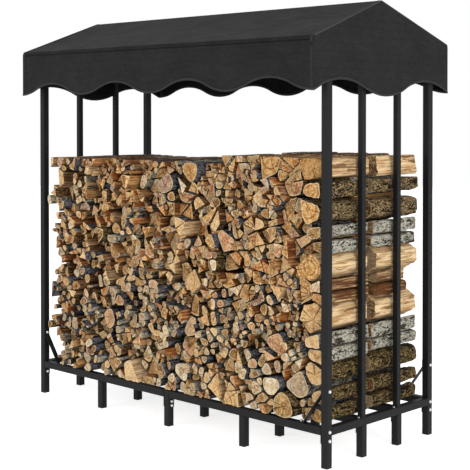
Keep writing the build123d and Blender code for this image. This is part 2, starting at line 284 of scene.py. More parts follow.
# Firewood colours. A log has one name from each list: for its ends, its split faces and its bark
endColours = {
    "tan": ((222, 170, 104), (176, 118, 60)),
    "olive": ((182, 142, 86), (128, 88, 46)),
    "light": ((242, 202, 144), (208, 154, 94)),
    "pink": ((220, 166, 126), (168, 100, 64)),
    "rose": ((172, 140, 126), (132, 92, 76)),
    "white": ((236, 230, 208), (206, 166, 116)),
    "orange": ((218, 148, 82), (164, 88, 40)),
    "brown": ((148, 102, 60), (92, 56, 32)),
    # Painted shade: the near ends of rear logs that sit in shadow behind the gap at the right end
    "shaded": ((104, 70, 42), (66, 42, 24)),
}
splitColours = {
    "orange": ((208, 130, 66), (132, 68, 28)),
    "tan": ((214, 162, 102), (142, 92, 48)),
    "redBrown": ((152, 92, 54), (78, 42, 22)),
    "pale": ((242, 212, 166), (178, 134, 84)),
    "brown": ((128, 86, 50), (70, 42, 22)),
    "grey": ((172, 158, 134), (100, 84, 64)),
}
barkColours = {
    "dark": ((92, 88, 92), (32, 26, 26), (142, 142, 150)),
    "grey": ((168, 162, 144), (50, 42, 33), (216, 212, 196)),
    "moss": ((66, 54, 33), (18, 13, 8), (158, 134, 90)),
    "brown": ((118, 84, 54), (46, 30, 18), (170, 134, 94)),
    "rough": ((92, 76, 50), (22, 16, 10), (178, 152, 112)),
}


def toneOf(palette, name):
    names = list(palette)
    return (names.index(name) + 0.5) / len(names)

# Colours that all wood shares
woodColours = {
    "crack": (48, 28, 15),
    "ringDark": (112, 68, 36),
    "stain": (138, 92, 52),
    "speckDark": (96, 58, 30),
    "speckLight": (250, 214, 156),
    "pale": (246, 222, 178),
}

# Sawn end: rings round the pith, radial cracks, saw marks, and a rim of bark where the log has it
sawnEnd = {
    "name": "sawnEndGrain",
    "roughness": 0.8,
    "specular": 0.2,
    "colours": woodColours,
    "picked": {
        "base": ("X", endColours, 0),
        "heart": ("X", endColours, 1),
        "barkEdge": ("Z", barkColours, 1),
    },
    "noises": {
        "wander": ((1, 1, 1), 24, 2, 0.55),
        "blotches": ((1, 1, 1), 34, 3, 0.55),
        "specks": ((1, 0.4, 1), 130, 3, 0.65),
        "sawMarks": ((1, 1, 7), 40, 2, 0.55),
    },
    "rayNoises": {"rays": ((1, 1, 1), 5.5, 2, 0.6), "shades": ((1, 1, 1), 2.2, 2, 0.6)},
    "ringNoises": {"rings": ((1, 1, 1), 100, 2, 0.6)},
    "wanderDepth": 0.014,
    "crackLevels": (0.63, 0.67),
    "layers": (
        ("depth", 0.026, 0.01, 0.75, "heart"),
        ("shades", 0.45, 0.65, 0.7, "heart"),
        ("shades", 0.45, 0.3, 0.6, "speckLight"),
        ("rings", 0.5, 0.55, 0.75, "heart"),
        ("rings", 0.57, 0.63, 0.7, "ringDark"),
        ("blotches", 0.55, 0.7, 0.5, "stain"),
        ("specks", 0.54, 0.62, 0.6, "speckDark"),
        ("specks", 0.45, 0.37, 0.6, "speckLight"),
        ("sawMarks", 0.52, 0.7, 0.3, "speckLight"),
        ("cracks", 0, 1, 0.85, "crack"),
        ("chance", 0.55, 1, 0.5, "speckDark"),
        ("chance", 0.4, 0, 0.35, "pale"),
        ("rim", 0.1, 0.5, 0.75, "pale"),
        ("rim", 0.72, 0.82, 0.85, "barkEdge"),
    ),
    "relief": {"rings": 1.0, "sawMarks": 1.0, "specks": 1.0, "cracks": -2.5},
    "reliefDepth": 0.0014,
}

# Split face: long torn fibres that run with the log
splitFace = {
    "name": "splitFace",
    "roughness": 0.74,
    "specular": 0.2,
    "colours": woodColours,
    "picked": {"base": ("Y", splitColours, 0), "dark": ("Y", splitColours, 1)},
    "noises": {
        "fibres": ((1, 0.06, 1), 120, 4, 0.7),
        "shreds": ((1, 0.12, 1), 60, 4, 0.65),
        "clouds": ((1, 0.4, 1), 24, 3, 0.55),
    },
    "layers": (
        ("chance", 0.55, 1, 0.5, "speckDark"),
        ("chance", 0.4, 0, 0.35, "pale"),
        ("clouds", 0.5, 0.68, 0.6, "dark"),
        ("fibres", 0.47, 0.58, 0.9, "dark"),
        ("fibres", 0.45, 0.36, 0.6, "speckLight"),
        ("shreds", 0.55, 0.61, 0.8, "speckDark"),
    ),
    "relief": {"shreds": 1.0, "fibres": 1.0},
    "reliefDepth": 0.004,
}

# Bark: plates with dark crevices, and flecks where it is mossy or weathered
logBark = {
    "name": "logBark",
    "roughness": 0.9,
    "specular": 0.15,
    "colours": {},
    "picked": {"base": ("Z", barkColours, 1), "plate": ("Z", barkColours, 0), "fleck": ("Z", barkColours, 2)},
    "noises": {
        "plates": ((1, 0.4, 1), 60, 5, 0.8),
        "crevices": ((1, 0.3, 1), 36, 4, 0.7),
        "flecks": ((1, 0.45, 1), 150, 3, 0.8),
    },
    "layers": (
        ("plates", 0.46, 0.52, 1.0, "plate"),
        ("flecks", 0.5, 0.55, 0.95, "fleck"),
        ("crevices", 0.55, 0.6, 0.95, "base"),
    ),
    "relief": {"plates": 1.0, "crevices": -0.9, "flecks": 0.3},
    "reliefDepth": 0.012,
}


# Each log's own pattern: its place from the pith, moved by its seed
def seededPlace(tree, grain, seed):
    away = addNode(tree, "ShaderNodeCombineXYZ", {0: seed, 1: seed, 2: mathStep(tree, "MULTIPLY", seed, 0.7)})
    moved = addNode(tree, "ShaderNodeVectorMath", {0: grain, 1: away.outputs[0]}, operation="ADD")
    return moved.outputs["Vector"]


# The rings of a sawn end, and the rays from its pith that shade or crack it
def addEndPatterns(tree, look, patterns, grain, seed):
    flat = stretched(tree, grain, (1, 0, 1))
    radius = addNode(tree, "ShaderNodeVectorMath", {0: flat}, operation="LENGTH").outputs["Value"]
    wander = mathStep(tree, "MULTIPLY", patterns["wander"], look["wanderDepth"])
    patterns["depth"] = mathStep(tree, "ADD", radius, wander)
    ringPlace = addNode(tree, "ShaderNodeCombineXYZ", {0: patterns["depth"], 1: seed}).outputs[0]
    ray = addNode(tree, "ShaderNodeVectorMath", {0: flat}, operation="NORMALIZE").outputs["Vector"]
    patterns.update(makeNoises(tree, look["ringNoises"], ringPlace))
    patterns.update(makeNoises(tree, look["rayNoises"], seededPlace(tree, ray, seed)))
    patterns["cracks"] = between(tree, patterns["rays"], *look["crackLevels"])
    patterns["rim"] = attribute(tree, "rim", "Fac")


# Noises follow the log's grain, its tones pick the colours, and by chance it is darker or lighter
def makeWood(look):
    material, tree, shader = startFinish(look)
    grain = attribute(tree, "grain", "Vector")
    seed = attribute(tree, "seed", "Fac")
    patterns = makeNoises(tree, look["noises"], seededPlace(tree, grain, seed))
    patterns["chance"] = mathStep(tree, "FRACT", mathStep(tree, "MULTIPLY", seed, 5.3))
    if "rayNoises" in look:
        addEndPatterns(tree, look, patterns, grain, seed)
    tones = addNode(tree, "ShaderNodeSeparateXYZ", {"Vector": attribute(tree, "tones", "Vector")})
    picked = {
        name: pickColour(tree, tones.outputs[axis], palette, shade)
        for name, (axis, palette, shade) in look["picked"].items()
    }
    applyLook(tree, shader, look, patterns, picked)
    return material


coatMaterial = makePlainFinish(powderCoat)
capMaterial = makePlainFinish(footPlastic)
zincMaterial = makePlainFinish(boltZinc)
threadMaterial = makePlainFinish(seamThread)
clothMaterial = makeCoverCloth(coverCloth, "charcoalPolyester", 0)
liningMaterial = makeCoverCloth(coverCloth, "blackLining", -20)
# The binding is the cloth lifted lighter: a lighter binding, and partly a painted highlight along the hem,
# the rake piping and the seam bands
hemHighlightMaterial = makeCoverCloth(coverCloth, "hemBindingPaintedHighlight", 34)
woodMaterials = [makeWood(look) for look in (sawnEnd, splitFace, logBark)]
print("finishes made")


# Puts a finished mesh in the scene, on the frame's one body
def addPiece(name, points, faces, materials, sharpAngle=None):
    mesh = bpy.data.meshes.new(name)
    mesh.from_pydata(points, [], faces)
    for material in materials:
        mesh.materials.append(material)
    mesh.polygons.foreach_set("use_smooth", [True] * len(mesh.polygons))
    if sharpAngle:
        mesh.set_sharp_from_angle(angle=math.radians(sharpAngle))
    piece = bpy.data.objects.new(name, mesh)
    scene.collection.objects.link(piece)
    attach(piece, "root")
    return piece


# Stores a number or a vector for each point, for the finish to read
def storeValues(piece, name, values):
    isVector = isinstance(values[0], tuple)
    made = piece.data.attributes.new(name, "FLOAT_VECTOR" if isVector else "FLOAT", "POINT")
    if isVector:
        made.data.foreach_set("vector", [number for value in values for number in value])
    else:
        made.data.foreach_set("value", values)


# Walls between rings of points, with caps on both ends unless the last ring meets the first
def skinRings(faces, first, size, count, flip=False, closed=False):
    for ring in range(count if closed else count - 1):
        low = first + ring * size
        high = first + (ring + 1) % count * size
        for corner in range(size):
            after = (corner + 1) % size
            quad = (low + corner, low + after, high + after, high + corner)
            faces.append(quad[::-1] if flip else quad)
    if not closed:
        startCap = tuple(range(first, first + size))
        endCap = tuple(range(first + (count - 1) * size, first + count * size))
        faces += [startCap, endCap[::-1]] if flip else [startCap[::-1], endCap]


# The steel tubes, plates and caps keep their CAD shape and get their finish
for nodeName, node in nodes.items():
    if nodeName.startswith("cover_") or "_logs_bay_" in nodeName:
        continue
    finish = capMaterial if nodeName == "foot_caps" else coatMaterial
    node.data.materials.clear()
    node.data.materials.append(finish)
print("steel and caps finished")

# Firewood. Lengths are in metres, areas in square metres, and shares are parts of one
firewood = {
    "smallLog": 0.0007,
    "largeLog": 0.0048,
    "roundLog": 0.0026,
    "smallRound": 0.0036,
    "wholeLog": 0.0115,
    "leastFront": 0.0011,
    "leastRear": 0.003,
    "gap": 0.0008,
    "sharpness": 0.05,
    "halfShare": 0.26,
    "wobble": 0.06,
    "sawTilt": 0.07,
    "drift": 0.0012,
    "jitterOut": 0.006,
    "jitterIn": (0.075, 0.035),
    "roundBelow": 0.66,
    "openAbove": 1.15,
    "openLeftOf": -0.82,
    "braceTop": 0.34,
    "braceX": 0.74,
    "rightEndX": 0.884,
    "railTop": 0.1605,
    "fineSpacing": 0.0065,
    "fineRings": 0.013,
    "ringPlaces": (0, 0.012, 0.04, 0.09),
    "openRings": (0.3, 0.65),
    # Depth and share of a relief, and its waves: how many across and along the log, and how strong
    "barkRelief": (0.0034, 0.55, ((42, 14, 1.0), (110, 46, 0.7))),
    "splitRelief": (0.0036, 0.6, ((75, 5, 1.0), (190, 12, 0.6))),
}
endShares = {"tan": 32, "olive": 15, "light": 18, "pink": 9, "rose": 4, "white": 6, "orange": 9, "brown": 7}
smallRoundShares = {"white": 50, "light": 18, "pink": 12, "olive": 12, "tan": 8}
smallBarkShares = {"grey": 44, "dark": 36, "moss": 10, "brown": 10}
splitShares = {"orange": 24, "tan": 26, "redBrown": 26, "pale": 8, "brown": 16}
barkShares = {"dark": 36, "brown": 34, "rough": 12, "grey": 14, "moss": 4}

# Logs that stand out in the photograph: shape, end, split face and bark, then places across and up in mm
knownLogs = {
    ("round", "tan", "orange", "dark"): ((-685, 579),),
    ("round", "tan", "tan", "dark"): ((183, 1123), (205, 580)),
    ("round", "tan", "tan", "rough"): ((843, 1094),),
    ("round", "olive", "tan", "moss"): ((692, 203),),
    ("round", "rose", "redBrown", "dark"): ((-72, 1061),),
    ("round", "pink", "redBrown", "dark"): ((363, 879), (629, 478), (102, 477), (-450, 470)),
    ("round", "pink", "redBrown", "brown"): ((785, 479),),
    ("round", "white", "tan", "dark"): ((96, 276), (621, 279)),
    ("round", "white", "tan", "grey"): ((775, 279),),
    ("half", "tan", "tan", "brown"): ((-348, 569), (240, 966), (183, 202), (598, 1175)),
    ("half", "tan", "tan", "moss"): ((527, 696),),
    ("half", "tan", "tan", "grey"): ((825, 993),),
    ("half", "tan", "brown", "brown"): ((554, 921),),
    ("half", "tan", "pale", "grey"): ((857, 794),),
    ("half", "light", "tan", "brown"): ((-358, 201), (858, 574)),
    ("half", "light", "tan", "dark"): ((694, 1143),),
    ("half", "olive", "tan", "dark"): ((375, 744),),
    ("half", "rose", "redBrown", "dark"): ((183, 888), (622, 1099), (-583, 274), (-34, 277)),
    ("wedge", "tan", "orange", "brown"): ((-132, 1121), (383, 591)),
    ("wedge", "tan", "tan", "brown"): ((828, 1176), (732, 966)),
    ("wedge", "tan", "redBrown", "dark"): ((-65, 231),),
    ("wedge", "olive", "orange", "dark"): ((-136, 582),),
    ("wedge", "olive", "orange", "brown"): ((257, 1110),),
    ("wedge", "olive", "tan", "brown"): ((77, 1126),),
    ("wedge", "light", "pale", "brown"): ((694, 684), (120, 663), (-249, 182), (278, 185), (433, 191)),
}

# Bands that show at the right end, from the rail up: height in mm, split face, bark, and which of them shows
rightEndBands = (
    (243, "brown", "moss", "bark"),
    (120, "grey", "grey", "bark"),
    (122, "pale", "brown", "split"),
    (84, "brown", "brown", "split"),
    (113, "pale", "brown", "split"),
    (110, "grey", "grey", "bark"),
    (103, "tan", "rough", "bark"),
    (75, "brown", "rough", "bark"),
    (97, "pale", "dark", "split"),
)


# The logs of one CAD node: outline seen from the front, with the near and far end
def readLogs(nodeName):
    shape = bmesh.new()
    shape.from_mesh(nodes[nodeName].data)
    bmesh.ops.remove_doubles(shape, verts=shape.verts, dist=2e-5)
    seen = set()
    logs = []
    for first in shape.verts:
        if first in seen:
            continue
        seen.add(first)
        island = [first]
        for vert in island:
            for edge in vert.link_edges:
                other = edge.other_vert(vert)
                if other not in seen:
                    seen.add(other)
                    island.append(other)
        flat = [(vert.co.x, vert.co.z) for vert in island]
        outline = [flat[number] for number in convex_hull_2d(flat)]
        outline = dropShortSides(outline, 0.0015)
        depths = [vert.co.y for vert in island]
        logs.append((outline, min(depths), max(depths)))
    shape.free()
    return sorted(logs, key=lambda log: (round(log[0][0][0], 4), round(log[0][0][1], 4), log[1]))


def dropShortSides(outline, shortest):
    kept = []
    for point in outline:
        if not kept or math.dist(point, kept[-1]) > shortest:
            kept.append(point)
    if len(kept) > 3 and math.dist(kept[0], kept[-1]) < shortest:
        kept.pop()
    return kept


def sidesOf(outline):
    return zip(outline, outline[1:] + outline[:1])


def areaOf(outline):
    return sum(a[0] * b[1] - b[0] * a[1] for a, b in sidesOf(outline)) / 2


def centreOf(outline):
    area = areaOf(outline)
    x = z = 0.0
    for a, b in sidesOf(outline):
        cross = a[0] * b[1] - b[0] * a[1]
        x += (a[0] + b[0]) * cross
        z += (a[1] + b[1]) * cross
    return x / (6 * area), z / (6 * area)


def inside(outline, x, z):
    return all(
        (b[0] - a[0]) * (z - a[1]) - (b[1] - a[1]) * (x - a[0]) >= 0
        for a, b in sidesOf(outline)
    )


# The part of an outline on one side of a line
def cutOutline(outline, normalX, normalZ, limit):
    kept = []
    for a, b in sidesOf(outline):
        roomA = limit - normalX * a[0] - normalZ * a[1]
        roomB = limit - normalX * b[0] - normalZ * b[1]
        if roomA >= 0:
            kept.append(a)
        if roomA * roomB < 0:
            share = roomA / (roomA - roomB)
            kept.append((a[0] + share * (b[0] - a[0]), a[1] + share * (b[1] - a[1])))
    return kept


# Splits a large bundle into logs, across its longer way
def splitOutline(draw, outline, largest):
    area = areaOf(outline)
    if area < largest:
        return [outline]
    centreX, centreZ = centreOf(outline)
    spreadXX = sum((p[0] - centreX) ** 2 for p in outline)
    spreadZZ = sum((p[1] - centreZ) ** 2 for p in outline)
    spreadXZ = sum((p[0] - centreX) * (p[1] - centreZ) for p in outline)
    angle = 0.5 * math.atan2(2 * spreadXZ, spreadXX - spreadZZ) + draw.uniform(-0.6, 0.6)
    normalX, normalZ = math.cos(angle), math.sin(angle)
    limit = normalX * centreX + normalZ * centreZ + draw.uniform(-0.16, 0.16) * math.sqrt(area)
    halves = []
    for side in (1, -1):
        half = dropShortSides(cutOutline(outline, side * normalX, side * normalZ, side * limit), 0.002)
        if len(half) > 2:
            halves += splitOutline(draw, half, largest * draw.uniform(0.6, 1.6))
    return halves


# Fewer corners, losing as little of the outline as it can
def simplified(outline, count):
    corners = list(outline)
    while len(corners) > count:
        losses = []
        for number, corner in enumerate(corners):
            before, after = corners[number - 1], corners[(number + 1) % len(corners)]
            losses.append((abs(areaOf([before, corner, after])), number))
        corners.pop(min(losses)[1])
    return corners


# Outline of a log with its corners rounded, as points with a flag for each side that has bark
def logSection(corners, barked, roundness, sharpness):
    count = len(corners)
    points, barks = [], []
    for number in range(count):
        corner = Vector(corners[number])
        before = Vector(corners[number - 1]) - corner
        after = Vector(corners[(number + 1) % count]) - corner
        barkBefore, barkAfter = barked[number - 1], barked[number]
        wanted = roundness if barkBefore and barkAfter else sharpness
        cutBefore = min(0.47 * before.length, wanted * (before.length + after.length) / 2)
        cutAfter = min(0.47 * after.length, wanted * (before.length + after.length) / 2)
        start = corner + before.normalized() * cutBefore
        end = corner + after.normalized() * cutAfter
        steps = 4 if barkBefore and barkAfter else 1
        for step in range(steps + 1):
            share = step / steps
            point = start * (1 - share) ** 2 + corner * 2 * share * (1 - share) + end * share**2
            points.append(point)
            barks.append(barkAfter if step == steps else (barkBefore if share < 0.5 else barkAfter))
    return points, barks


# More points on the long sides, so that bark and fibres have something to bend
def refined(points, barks, spacing):
    finePoints, fineBarks = [], []
    for number, point in enumerate(points):
        following = points[(number + 1) % len(points)]
        steps = max(1, round((following - point).length / spacing))
        for step in range(steps):
            finePoints.append(point.lerp(following, step / steps))
            fineBarks.append(barks[number])
    return finePoints, fineBarks


# A smooth bump along a line: its height, its middle, and how wide it is
def swell(place, height, middle, width):
    return height * math.exp(-(((place - middle) / width) ** 2))


def drawName(draw, shares):
    return draw.choices(list(shares), list(shares.values()))[0]


# The corners that a log keeps, which of its sides have bark, and how round it is
def logForm(draw, outline, kind):
    if kind == "half":
        corners = simplified(outline, 6)
        lengths = [math.dist(a, b) for a, b in sidesOf(corners)]
        flatSide = lengths.index(max(lengths))
        return corners, [number != flatSide for number in range(len(corners))], 0.36
    if kind == "wedge":
        corners = simplified(outline, draw.choice((3, 4, 4, 5)))
        barkSide = draw.randrange(len(corners))
        return corners, [number == barkSide for number in range(len(corners))], 0.3
    if kind == "round":
        corners = simplified(outline, 7)
        return corners, [True] * len(corners), 0.5
    corners = simplified(outline, 6)
    return corners, [kind == "barkBlock"] * len(corners), 0.44


# The rings' centre: inside a round log, near the flat face or the sharp edge of a split one
def pithOf(draw, corners, barked, kind, centre, size):
    if kind == "wedge":
        barkCorner = corners[barked.index(True)]
        far = max(corners, key=lambda corner: math.dist(corner, barkCorner))
        return Vector(far).lerp(centre, draw.uniform(-0.3, 0.5))
    if kind == "half":
        flatSide = barked.index(False)
        start, end = Vector(corners[flatSide]), Vector(corners[(flatSide + 1) % len(corners)])
        return start.lerp(end, draw.uniform(0.4, 0.6)).lerp(centre, 0.12)
    return centre + Vector((draw.uniform(-0.1, 0.1), draw.uniform(-0.1, 0.1))) * size


# A log's outline worn a little inwards. A round one is also held within an even circle
def wornSection(points, barks, centre, size, seed, kind):
    shrink = 1 - firewood["gap"] / size
    worn = []
    for point, hasBark in zip(points, barks):
        away = point - centre
        slow = noise.noise(Vector((away.x / size * 2.2, away.y / size * 2.2, seed)))
        quick = noise.noise(Vector((away.x / size * 6.5, away.y / size * 6.5, seed + 9)))
        pull = firewood["wobble"] * (0.8 * slow + (0.35 if hasBark else 0.8) * quick - 0.45)
        worn.append(centre + away * (shrink + min(0.0, pull)))
    if kind == "round":
        reach = sorted((point - centre).length for point in worn)[len(worn) // 3] * 1.14
        worn = [centre + (point - centre) * min(1.0, reach / (point - centre).length) for point in worn]
    return worn


# Where a log has its rings of points: close together where its sides show, and else near the end that does
def ringPlaces(log, length):
    if log["fine"]:
        steps = round(length / firewood["fineRings"])
        return [length * step / steps for step in range(steps + 1)]
    rings = list(firewood["ringPlaces"])
    if log["open"]:
        rings += [rings[-1] + (length - rings[-1]) * share for share in firewood["openRings"]]
    rings.append(length)
    return [length - ring for ring in reversed(rings)] if log["rear"] else rings


# How far a side sinks at a place: plates of bark, or fibres that run with the log
def sinkAt(place, relief, rough):
    depth, share, waves = relief
    wave = 0.0
    for across, along, strength in waves:
        wave += strength * noise.noise(Vector((place.x * across, place.y * along, place.z * across)))
    return depth * rough * (share * wave - 0.5)


# Adds one log to a bundle's lists
def addLog(bundle, draw, log):
    near, far, kind = log["near"], log["far"], log["kind"]
    centre = Vector(centreOf(log["outline"]))
    size = math.sqrt(areaOf(log["outline"]))
    corners, barked, roundness = logForm(draw, log["outline"], kind)
    points, barks = logSection(corners, barked, roundness, firewood["sharpness"])
    spacing = firewood["fineSpacing"] if log["fine"] else max(0.006, 0.19 * size)
    points, barks = refined(points, barks, spacing)
    count = len(points)
    seed = draw.uniform(0, 40)
    points = wornSection(points, barks, centre, size, seed, kind)
    normals = []
    for number in range(count):
        along = points[(number + 1) % count] - points[number - 1]
        normals.append(Vector((along.y, -along.x)).normalized())
    pith = pithOf(draw, corners, barked, kind, centre, size)
    length = far - near
    rings = ringPlaces(log, length)
    tilts = [[draw.uniform(-1, 1) * firewood["sawTilt"] for _ in range(2)] for _ in range(2)]
    drift = Vector((draw.uniform(-1, 1), draw.uniform(-1, 1))) * firewood["drift"]
    seedPlace = Vector((draw.uniform(0, 90), draw.uniform(0, 90), draw.uniform(0, 90)))
    rough = log["rough"] * min(1, size / 0.05)
    first = len(bundle["points"])
    palettes = {"end": endColours, "split": splitColours, "bark": barkColours}
    tones = tuple(toneOf(palette, log[key]) for key, palette in palettes.items())

    def put(place, depth, rim):
        bundle["points"].append((place.x, depth, place.y))
        bundle["grain"].append((place.x - pith.x, depth - near, place.y - pith.y))
        bundle["tones"].append(tones)
        bundle["seed"].append(seed)
        bundle["rim"].append(rim)

    for ring in rings:
        share = ring / length
        middle = drift * math.sin(math.pi * share)
        girth = 1 - log["taper"] * (0.5 + 0.5 * noise.noise(Vector((ring * 7, seed, 2))))
        for number, point in enumerate(points):
            hasBark = barks[number] or barks[number - 1]
            relief = firewood["barkRelief" if hasBark else "splitRelief"]
            sink = sinkAt(Vector((point.x, ring, point.y)) + seedPlace, relief, rough)
            offset = point - centre
            slant = (tilts[0][0] * offset.x + tilts[0][1] * offset.y) * (1 - share)
            slant += (tilts[1][0] * offset.x + tilts[1][1] * offset.y) * share
            moved = centre + offset * girth + normals[number] * sink + middle
            put(moved, near + ring + slant, 1.0 if hasBark else 0.0)
    for level in range(len(rings) - 1):
        for number in range(count):
            a = first + level * count + number
            b = first + level * count + (number + 1) % count
            bundle["faces"].append((a, a + count, b + count, b))
            bundle["finish"].append(2 if barks[number] else 1)
    # Ends: a narrow band that carries the bark's edge, then a fan
    thin = max(0.76, 1 - 0.011 / size)
    for end, depth, level in ((0, near, 0), (1, far, len(rings) - 1)):
        edge = first + level * count
        band = len(bundle["points"])
        hub = band + count
        for number in range(count):
            x, _, z = bundle["points"][edge + number]
            place = centre + (Vector((x, z)) - centre) * thin
            offset = place - centre
            dish = 0.0016 * noise.noise(Vector((place.x * 60, place.y * 60, seed)))
            put(place, depth + tilts[end][0] * offset.x + tilts[end][1] * offset.y + dish, 0.0)
        put(centre, depth + draw.uniform(-0.0015, 0.0015), 0.0)
        for number in range(count):
            after = (number + 1) % count
            outer, outerAfter, inner, innerAfter = edge + number, edge + after, band + number, band + after
            if end == 0:
                bundle["faces"] += [(outer, outerAfter, innerAfter, inner), (inner, innerAfter, hub)]
            else:
                bundle["faces"] += [(outer, inner, innerAfter, outerAfter), (inner, hub, innerAfter)]
            bundle["finish"] += [0, 0]


# The band of the right end that a height belongs to
def bandAt(height):
    top = firewood["railTop"]
    for band in rightEndBands:
        top += band[0] / 1000
        if height < top:
            return band
    return rightEndBands[-1]


# Round wood lies mostly in a band across the lower half, and on the rail
def roundShareAt(height):
    return 0.2 + swell(height, 0.5, 0.47, 0.17) + swell(height, 0.4, 0.2, 0.09)


# Shape and finishes of the log that the photograph shows inside an outline, if it shows one
def knownDress(outline):
    for dress, places in knownLogs.items():
        if any(inside(outline, x / 1000, z / 1000) for x, z in places):
            return dress
    return None


def atRightEnd(outline):
    return max(x for x, _ in outline) > firewood["rightEndX"]


# Shape, finish and ends of a log, by what the photograph shows there or else by chance
def dressLog(draw, outline, near, far, front):
    centreZ = centreOf(outline)[1]
    isSmall = areaOf(outline) < firewood["smallRound"]
    log = {"outline": outline, "near": near, "far": far, "rear": not front}
    log.update({"fine": False, "rough": 1.0, "taper": 0.03})
    topZ, leftX = max(z for _, z in outline), min(x for x, _ in outline)
    log["open"] = topZ > firewood["openAbove"] or leftX < firewood["openLeftOf"]
    roundShare = roundShareAt(centreZ) if isSmall else 0.25
    shares = (roundShare, firewood["halfShare"], 1 - roundShare - firewood["halfShare"])
    log["kind"] = draw.choices(("round", "half", "wedge"), shares)[0]
    smallRound = log["kind"] == "round" and isSmall
    log["end"] = drawName(draw, smallRoundShares if smallRound else endShares)
    log["split"] = drawName(draw, splitShares)
    log["bark"] = drawName(draw, smallBarkShares if smallRound else barkShares)
    known = knownDress(outline) if front else None
    if known:
        log["kind"], log["end"], log["split"], log["bark"] = known
    if atRightEnd(outline):
        _, log["split"], log["bark"], shows = bandAt(centreZ)
        showsSplit = shows == "split"
        log["kind"] = "splitBlock" if showsSplit else "barkBlock"
        log["rough"] = 2.6 if log["bark"] in ("rough", "moss") else 1.5
        log["taper"] = 0.04 if showsSplit else 0.1
        log["fine"] = True
        if front:
            log["far"] = far - draw.uniform(0, 0.006)
        else:
            log["near"] = near + (draw.uniform(0.036, 0.046) if showsSplit else draw.uniform(0.004, 0.018))
            log["far"] = far - (0.07 if log["split"] == "brown" and showsSplit else 0)
            # Seen through the gap, the rear log's near end gets painted shade
            log["end"] = "shaded"
    return log


# The logs that one CAD log stands for: itself, or smaller ones cut out of its outline
def splitBundle(draw, outline, front):
    spread = firewood["largeLog"] - firewood["smallLog"]
    largest = firewood["smallLog"] + draw.random() ** 1.7 * spread
    isKnown = front and knownDress(outline) and areaOf(outline) < firewood["wholeLog"]
    if isKnown or atRightEnd(outline):
        return [outline]
    if centreOf(outline)[1] < firewood["roundBelow"]:
        largest = min(largest, firewood["roundLog"])
    return splitOutline(draw, outline, max(largest, firewood["leastFront" if front else "leastRear"]))


# How far a small log's end stands in from its row's face. Beside a brace it never stands out
def standIn(draw, outline):
    centreX, centreZ = centreOf(outline)
    leftIn, rightIn = firewood["jitterIn"]
    deepest = leftIn + (rightIn - leftIn) * (0.5 + centreX / 1.8)
    shift = draw.random() ** 1.6 * deepest - firewood["jitterOut"]
    besideBrace = centreZ < firewood["braceTop"] and abs(centreX) > firewood["braceX"]
    return abs(shift) if besideBrace else shift


def stackBay(row, bay):
    nodeName = f"{row}_logs_bay_{bay}"
    front = row == "front"
    draw = random.Random(f"{row} {bay} 7")
    bundle = {key: [] for key in ("points", "faces", "finish", "grain", "tones", "seed", "rim")}
    count = 0
    for outline, near, far in readLogs(nodeName):
        pieces = splitBundle(draw, outline, front)
        for piece in pieces:
            shift = standIn(draw, piece) if len(pieces) > 1 else 0
            start, end = (near + shift, far) if front else (near, far - shift)
            addLog(bundle, draw, dressLog(draw, piece, start, end, front))
        count += len(pieces)
    stack = addPiece(f"{row}Firewood{bay}", bundle["points"], bundle["faces"], woodMaterials, 30)
    stack.data.polygons.foreach_set("material_index", bundle["finish"])
    for name in ("grain", "tones", "seed", "rim"):
        storeValues(stack, name, bundle[name])
    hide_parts(nodeName)
    return count


logCount = sum(stackBay(row, bay) for row in ("front", "rear") for bay in (1, 2, 3, 4))
print("firewood stacked:", logCount, "logs")

# The sewn cover. Lengths in metres, on the CAD cover's outer face
cover = {
    "halfX": 0.9415,
    "halfY": 0.4575,
    "eave": 1.698,
    "rise": 0.167,
    "gableLean": 0.02,
    "eaveRadius": 0.0183,
    "ridgeRadius": 0.016,
    "eaveSteps": 6,
    "ridgeSteps": 2,
    "longWave": (1.514, 0.026, 0.47075),
    "endWave": (1.501, 0.032, 0.566),
    "spacing": 0.0105,
    "valanceRows": 20,
    "edgeRadius": 0.006,
    "thickness": 0.0008,
    "slopeSag": 0.006,
    "rippleDepth": 0.0042,
    "wrinkleDepth": 0.0055,
}
slopeRise = cover["rise"] / cover["halfY"]
slopeAngle = math.atan(slopeRise)
edgeSteps = (0.0, 0.002, 0.004, 0.006, 0.009, 0.014)  # closer points beside a seam


# Height of a scalloped edge: equal arcs, lowest at the middle
def scallop(place, wave):
    height, depth, length = wave
    half = length / 2
    arc = math.floor(place / half + 0.5)
    radius = (half * half / 4 + depth * depth) / (2 * depth)
    away = place - arc * half
    bulge = math.sqrt(radius * radius - away * away) - (radius - depth)
    return height - bulge if arc % 2 == 0 else height + bulge


def endX(height):
    lean = max(0.0, height - cover["eave"]) / cover["rise"]
    return cover["halfX"] - cover["gableLean"] * lean


# The roof's line from the front eave over the ridge to the rear eave: y, z, and the way it faces
def roofLine():
    eaveR, ridgeR = cover["eaveRadius"], cover["ridgeRadius"]
    eaveY = -cover["halfY"] + eaveR
    eaveZ = cover["eave"] + slopeRise * eaveR - eaveR / math.cos(slopeAngle)
    ridgeZ = cover["eave"] + cover["rise"] - ridgeR / math.cos(slopeAngle)
    line = []
    for step in range(cover["eaveSteps"] + 1):
        angle = math.pi - (math.pi / 2 - slopeAngle) * step / cover["eaveSteps"]
        line.append((eaveY + eaveR * math.cos(angle), eaveZ + eaveR * math.sin(angle), angle))
    slopeTurn = math.pi / 2 + slopeAngle
    ridgeStart = (ridgeR * math.cos(slopeTurn), ridgeZ + ridgeR * math.sin(slopeTurn))
    slopeLength = math.dist(line[-1][:2], ridgeStart)
    steps = round(slopeLength / cover["spacing"])
    startY, startZ = line[-1][:2]
    for step in range(1, steps + 1):
        share = step / steps
        y = startY + (ridgeStart[0] - startY) * share
        z = startZ + (ridgeStart[1] - startZ) * share
        line.append((y, z, slopeTurn))
    for step in range(1, cover["ridgeSteps"] + 1):
        angle = math.pi / 2 + slopeAngle * (1 - step / cover["ridgeSteps"])
        line.append((ridgeR * math.cos(angle), ridgeZ + ridgeR * math.sin(angle), angle))
    return line + [(-y, z, math.pi - angle) for y, z, angle in line[-2::-1]]


